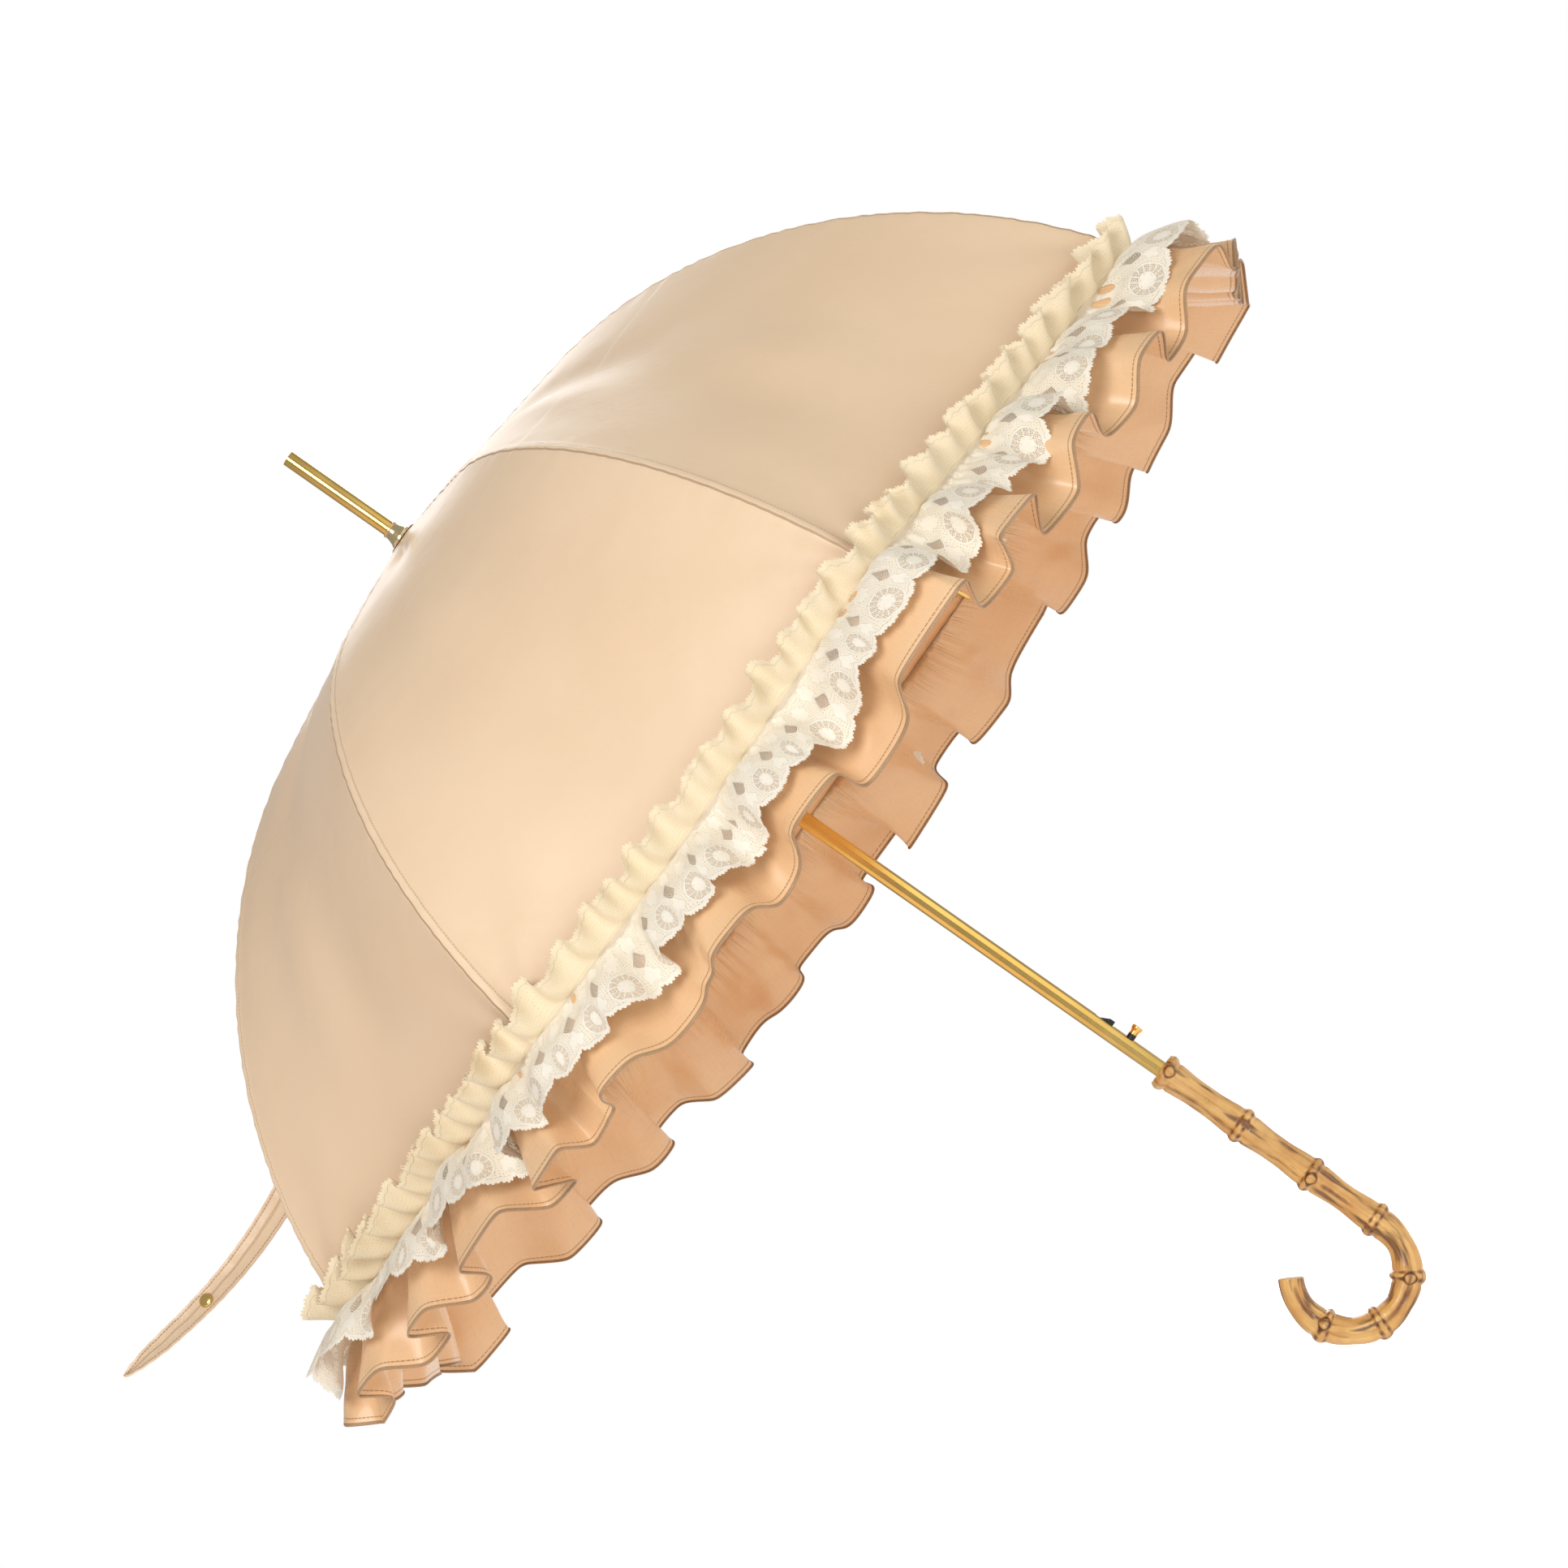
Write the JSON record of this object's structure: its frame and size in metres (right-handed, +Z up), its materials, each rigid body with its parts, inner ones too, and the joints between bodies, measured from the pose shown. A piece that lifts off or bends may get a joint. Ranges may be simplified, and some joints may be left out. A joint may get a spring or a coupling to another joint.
{
  "type": "lace parasol",
  "caption": "Open dome parasol with a satin canopy, a satin ruffle and a lace ruffle, folding ribs, a sliding runner, a release button and a bamboo crook handle.",
  "frame": {"origin": "on the tube's axis at the handle's top face", "axes": "+Z up the tube to the ferrule; the button and the catch stand out toward +X, and the crook turns toward -X"},
  "size_m": [1.0555, 0.951, 0.9262],
  "materials": {
    "polished_gold": "polished gold tube",
    "pale_gold": "pale satin gold",
    "steel": "bright silver steel",
    "black": "black moulded plastic",
    "bamboo": "varnished bamboo with scorched knuckles",
    "satin": "champagne satin",
    "lace": "cream floral lace",
    "spring_steel": "bare spring steel"
  },
  "bodies": {
    "root": {"shaft_tube": "polished_gold", "ferrule": "polished_gold", "crown_cap": "pale_gold", "crown_rosette": "satin", "top_notch": "black", "notch_wire": "spring_steel", "notch_pin": "spring_steel", "opening_spring": "spring_steel", "handle": "bamboo", "handle_pin": "pale_gold", "release_pin": "spring_steel", "canopy": "satin", "satin_ruffle": "satin", "lace_ruffle": "lace", "tie_strap": "satin", "snap_cap": "pale_gold", "snap_socket": "pale_gold"},
    "runner": {"runner_sleeve": "polished_gold", "runner_gallery": "black", "runner_wire": "spring_steel"},
    "release": {"release_strip": "spring_steel", "catch": "black", "button_stem": "black", "button_cap": "polished_gold"},
    "inner_rib_1": {"inner_rib_1": "steel"},
    "outer_rib_1": {"outer_rib_1": "steel", "rib_tip_1": "pale_gold"},
    "stretcher_1": {"stretcher_1": "steel"},
    "inner_rib_2": {"inner_rib_2": "steel"},
    "outer_rib_2": {"outer_rib_2": "steel", "rib_tip_2": "pale_gold"},
    "stretcher_2": {"stretcher_2": "steel"},
    "inner_rib_3": {"inner_rib_3": "steel"},
    "outer_rib_3": {"outer_rib_3": "steel", "rib_tip_3": "pale_gold"},
    "stretcher_3": {"stretcher_3": "steel"},
    "inner_rib_4": {"inner_rib_4": "steel"},
    "outer_rib_4": {"outer_rib_4": "steel", "rib_tip_4": "pale_gold"},
    "stretcher_4": {"stretcher_4": "steel"},
    "inner_rib_5": {"inner_rib_5": "steel"},
    "outer_rib_5": {"outer_rib_5": "steel", "rib_tip_5": "pale_gold"},
    "stretcher_5": {"stretcher_5": "steel"},
    "inner_rib_6": {"inner_rib_6": "steel"},
    "outer_rib_6": {"outer_rib_6": "steel", "rib_tip_6": "pale_gold"},
    "stretcher_6": {"stretcher_6": "steel"},
    "inner_rib_7": {"inner_rib_7": "steel"},
    "outer_rib_7": {"outer_rib_7": "steel", "rib_tip_7": "pale_gold"},
    "stretcher_7": {"stretcher_7": "steel"},
    "inner_rib_8": {"inner_rib_8": "steel"},
    "outer_rib_8": {"outer_rib_8": "steel", "rib_tip_8": "pale_gold"},
    "stretcher_8": {"stretcher_8": "steel"}
  },
  "joints": [
    {"name": "runner_slide", "type": "slide", "parent": "root", "child": "runner", "axis": [0, 0, -1], "range_m": [0, 0.38916], "stiffness_N_per_m": 60, "springref_m": -0.18, "deforming": ["opening_spring"]},
    {"name": "release_press", "type": "hinge", "parent": "root", "child": "release", "pos_m": [0, 0, -0.022], "axis": [0, -1, 0], "range_deg": [0, 3], "stiffness_Nm_per_rad": 2, "springref_deg": -1.15},
    {"name": "rib_fold_1", "type": "hinge", "parent": "root", "child": "inner_rib_1", "pos_m": [0.00391, -0.01135, 0.602], "axis": [0.9455, 0.3256, 0], "range_deg": [0, 70.29]},
    {"name": "rib_joint_1", "type": "hinge", "parent": "inner_rib_1", "child": "outer_rib_1", "pos_m": [0.08416, -0.24442, 0.54548], "axis": [0.9455, 0.3256, 0], "range_deg": [-28.06, 0]},
    {"name": "stretcher_fold_1", "type": "hinge", "parent": "inner_rib_1", "child": "stretcher_1", "pos_m": [0.08416, -0.24442, 0.54548], "axis": [0.9455, 0.3256, 0], "range_deg": [-140.57, 0]},
    {"name": "rib_fold_2", "type": "hinge", "parent": "root", "child": "inner_rib_2", "pos_m": [0.01079, -0.00526, 0.602], "axis": [0.4384, 0.8988, 0], "range_deg": [0, 70.29]},
    {"name": "rib_joint_2", "type": "hinge", "parent": "inner_rib_2", "child": "outer_rib_2", "pos_m": [0.23234, -0.11332, 0.54548], "axis": [0.4384, 0.8988, 0], "range_deg": [-28.06, 0]},
    {"name": "stretcher_fold_2", "type": "hinge", "parent": "inner_rib_2", "child": "stretcher_2", "pos_m": [0.23234, -0.11332, 0.54548], "axis": [0.4384, 0.8988, 0], "range_deg": [-140.57, 0]},
    {"name": "rib_fold_3", "type": "hinge", "parent": "root", "child": "inner_rib_3", "pos_m": [0.01135, 0.00391, 0.602], "axis": [-0.3256, 0.9455, 0], "range_deg": [0, 70.29]},
    {"name": "rib_joint_3", "type": "hinge", "parent": "inner_rib_3", "child": "outer_rib_3", "pos_m": [0.24442, 0.08416, 0.54548], "axis": [-0.3256, 0.9455, 0], "range_deg": [-28.06, 0]},
    {"name": "stretcher_fold_3", "type": "hinge", "parent": "inner_rib_3", "child": "stretcher_3", "pos_m": [0.24442, 0.08416, 0.54548], "axis": [-0.3256, 0.9455, 0], "range_deg": [-140.57, 0]},
    {"name": "rib_fold_4", "type": "hinge", "parent": "root", "child": "inner_rib_4", "pos_m": [0.00526, 0.01079, 0.602], "axis": [-0.8988, 0.4384, 0], "range_deg": [0, 70.29]},
    {"name": "rib_joint_4", "type": "hinge", "parent": "inner_rib_4", "child": "outer_rib_4", "pos_m": [0.11332, 0.23234, 0.54548], "axis": [-0.8988, 0.4384, 0], "range_deg": [-28.06, 0]},
    {"name": "stretcher_fold_4", "type": "hinge", "parent": "inner_rib_4", "child": "stretcher_4", "pos_m": [0.11332, 0.23234, 0.54548], "axis": [-0.8988, 0.4384, 0], "range_deg": [-140.57, 0]},
    {"name": "rib_fold_5", "type": "hinge", "parent": "root", "child": "inner_rib_5", "pos_m": [-0.00391, 0.01135, 0.602], "axis": [-0.9455, -0.3256, 0], "range_deg": [0, 70.29]},
    {"name": "rib_joint_5", "type": "hinge", "parent": "inner_rib_5", "child": "outer_rib_5", "pos_m": [-0.08416, 0.24442, 0.54548], "axis": [-0.9455, -0.3256, 0], "range_deg": [-28.06, 0]},
    {"name": "stretcher_fold_5", "type": "hinge", "parent": "inner_rib_5", "child": "stretcher_5", "pos_m": [-0.08416, 0.24442, 0.54548], "axis": [-0.9455, -0.3256, 0], "range_deg": [-140.57, 0]},
    {"name": "rib_fold_6", "type": "hinge", "parent": "root", "child": "inner_rib_6", "pos_m": [-0.01079, 0.00526, 0.602], "axis": [-0.4384, -0.8988, 0], "range_deg": [0, 70.29]},
    {"name": "rib_joint_6", "type": "hinge", "parent": "inner_rib_6", "child": "outer_rib_6", "pos_m": [-0.23234, 0.11332, 0.54548], "axis": [-0.4384, -0.8988, 0], "range_deg": [-28.06, 0]},
    {"name": "stretcher_fold_6", "type": "hinge", "parent": "inner_rib_6", "child": "stretcher_6", "pos_m": [-0.23234, 0.11332, 0.54548], "axis": [-0.4384, -0.8988, 0], "range_deg": [-140.57, 0]},
    {"name": "rib_fold_7", "type": "hinge", "parent": "root", "child": "inner_rib_7", "pos_m": [-0.01135, -0.00391, 0.602], "axis": [0.3256, -0.9455, 0], "range_deg": [0, 70.29]},
    {"name": "rib_joint_7", "type": "hinge", "parent": "inner_rib_7", "child": "outer_rib_7", "pos_m": [-0.24442, -0.08416, 0.54548], "axis": [0.3256, -0.9455, 0], "range_deg": [-28.06, 0]},
    {"name": "stretcher_fold_7", "type": "hinge", "parent": "inner_rib_7", "child": "stretcher_7", "pos_m": [-0.24442, -0.08416, 0.54548], "axis": [0.3256, -0.9455, 0], "range_deg": [-140.57, 0]},
    {"name": "rib_fold_8", "type": "hinge", "parent": "root", "child": "inner_rib_8", "pos_m": [-0.00526, -0.01079, 0.602], "axis": [0.8988, -0.4384, 0], "range_deg": [0, 70.29]},
    {"name": "rib_joint_8", "type": "hinge", "parent": "inner_rib_8", "child": "outer_rib_8", "pos_m": [-0.11332, -0.23234, 0.54548], "axis": [0.8988, -0.4384, 0], "range_deg": [-28.06, 0]},
    {"name": "stretcher_fold_8", "type": "hinge", "parent": "inner_rib_8", "child": "stretcher_8", "pos_m": [-0.11332, -0.23234, 0.54548], "axis": [0.8988, -0.4384, 0], "range_deg": [-140.57, 0]}
  ],
  "couplings": [
    {"joint": "rib_fold_1", "follows": "runner_slide", "rad_per_m": 3.1506},
    {"joint": "rib_joint_1", "follows": "runner_slide", "rad_per_m": -1.2578},
    {"joint": "stretcher_fold_1", "follows": "runner_slide", "rad_per_m": -6.3012},
    {"joint": "rib_fold_2", "follows": "runner_slide", "rad_per_m": 3.1506},
    {"joint": "rib_joint_2", "follows": "runner_slide", "rad_per_m": -1.2578},
    {"joint": "stretcher_fold_2", "follows": "runner_slide", "rad_per_m": -6.3012},
    {"joint": "rib_fold_3", "follows": "runner_slide", "rad_per_m": 3.1506},
    {"joint": "rib_joint_3", "follows": "runner_slide", "rad_per_m": -1.2578},
    {"joint": "stretcher_fold_3", "follows": "runner_slide", "rad_per_m": -6.3012},
    {"joint": "rib_fold_4", "follows": "runner_slide", "rad_per_m": 3.1506},
    {"joint": "rib_joint_4", "follows": "runner_slide", "rad_per_m": -1.2578},
    {"joint": "stretcher_fold_4", "follows": "runner_slide", "rad_per_m": -6.3012},
    {"joint": "rib_fold_5", "follows": "runner_slide", "rad_per_m": 3.1506},
    {"joint": "rib_joint_5", "follows": "runner_slide", "rad_per_m": -1.2578},
    {"joint": "stretcher_fold_5", "follows": "runner_slide", "rad_per_m": -6.3012},
    {"joint": "rib_fold_6", "follows": "runner_slide", "rad_per_m": 3.1506},
    {"joint": "rib_joint_6", "follows": "runner_slide", "rad_per_m": -1.2578},
    {"joint": "stretcher_fold_6", "follows": "runner_slide", "rad_per_m": -6.3012},
    {"joint": "rib_fold_7", "follows": "runner_slide", "rad_per_m": 3.1506},
    {"joint": "rib_joint_7", "follows": "runner_slide", "rad_per_m": -1.2578},
    {"joint": "stretcher_fold_7", "follows": "runner_slide", "rad_per_m": -6.3012},
    {"joint": "rib_fold_8", "follows": "runner_slide", "rad_per_m": 3.1506},
    {"joint": "rib_joint_8", "follows": "runner_slide", "rad_per_m": -1.2578},
    {"joint": "stretcher_fold_8", "follows": "runner_slide", "rad_per_m": -6.3012}
  ]
}
